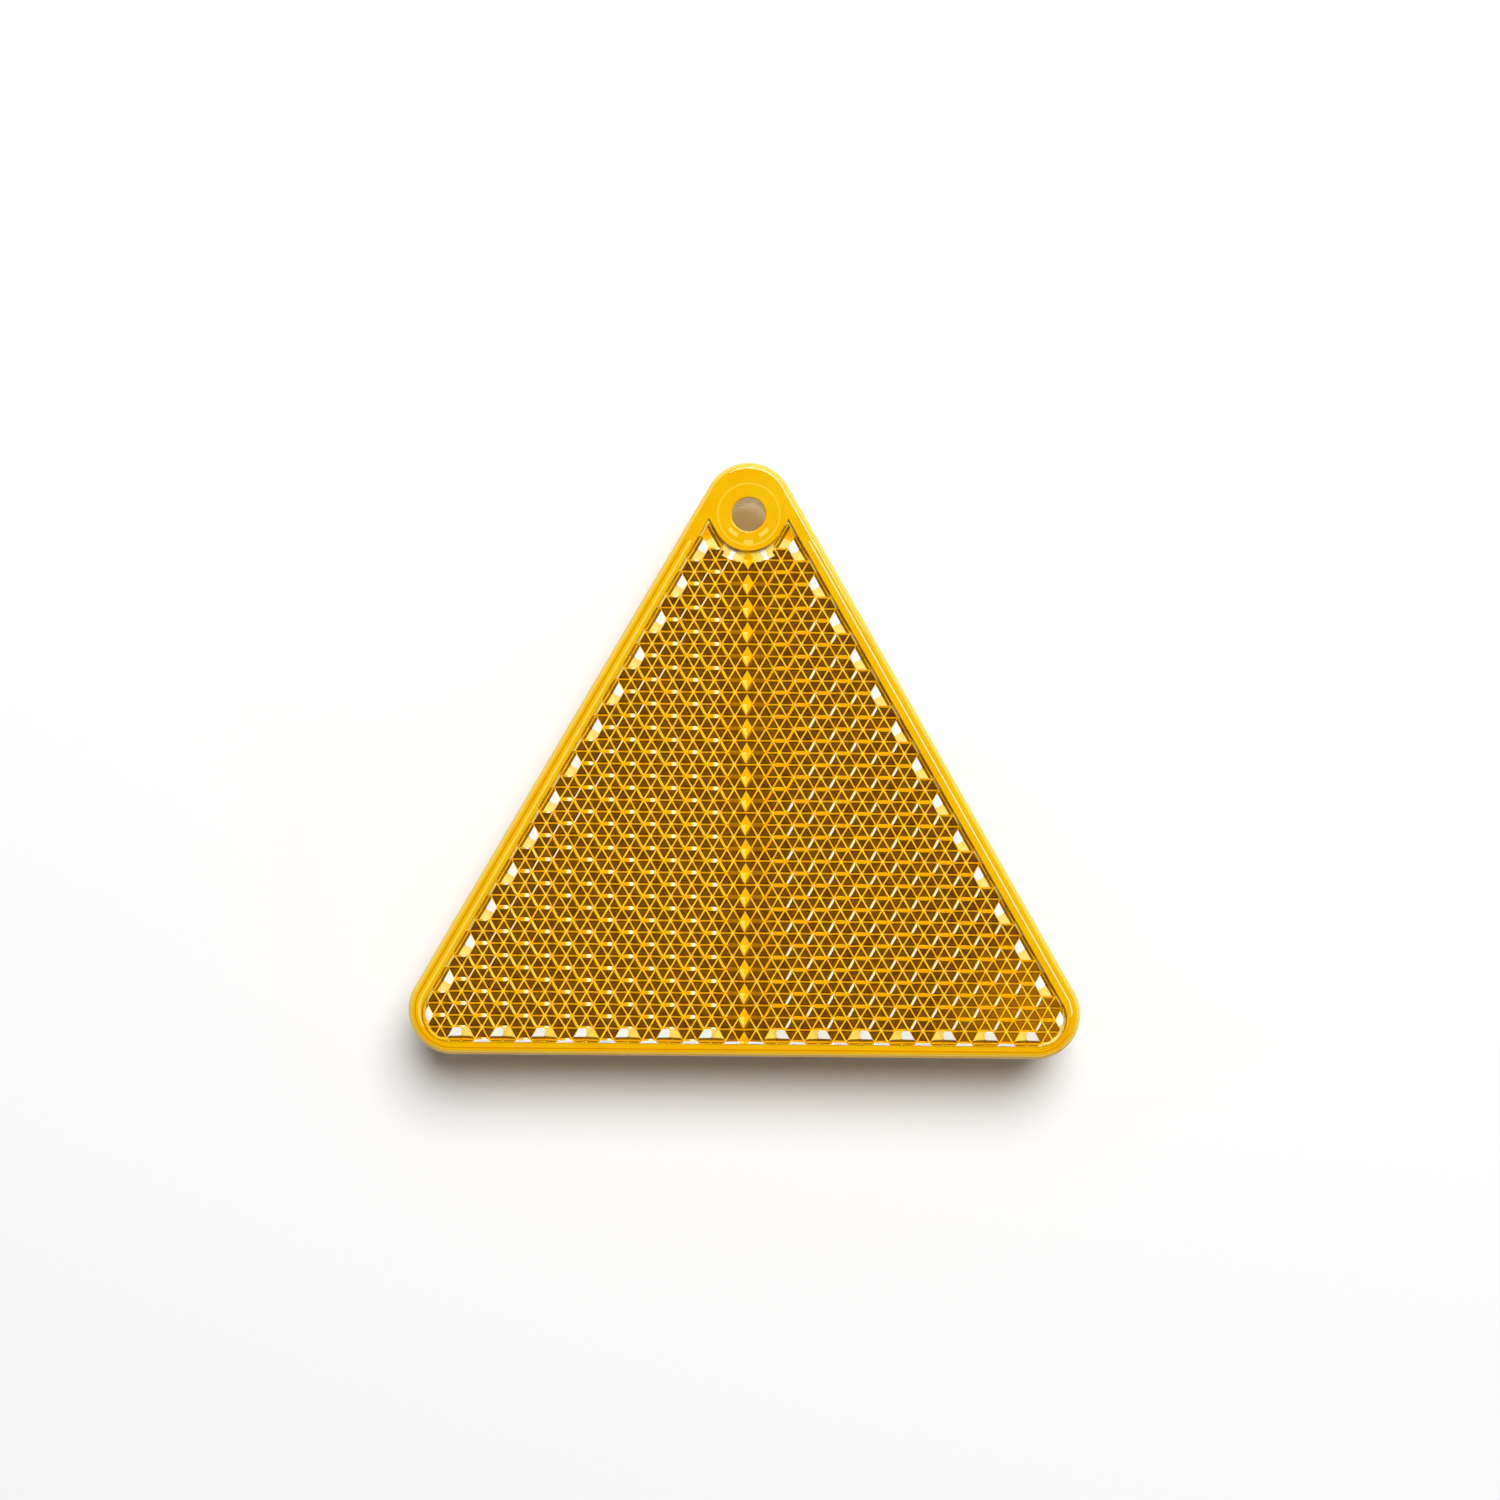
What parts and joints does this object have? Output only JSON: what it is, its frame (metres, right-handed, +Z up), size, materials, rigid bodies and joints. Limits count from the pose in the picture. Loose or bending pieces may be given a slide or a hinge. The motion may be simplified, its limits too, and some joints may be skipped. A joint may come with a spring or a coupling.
{
  "type": "hanging safety reflector",
  "caption": "Triangular hanging reflector of clear amber plastic with rounded corners, a field of cube-corner prisms and a hanging hole in the top corner.",
  "frame": {"origin": "centre of the hanging hole, half way through the thickness", "axes": "+X across the reflector, +Z up as it hangs, -Y out of the front face"},
  "size_m": [0.06, 0.006, 0.0531],
  "materials": {
    "amber_lens": "clear polished"
  },
  "bodies": {
    "root": {"front_lens": "amber_lens", "back_lens": "amber_lens"}
  },
  "joints": []
}
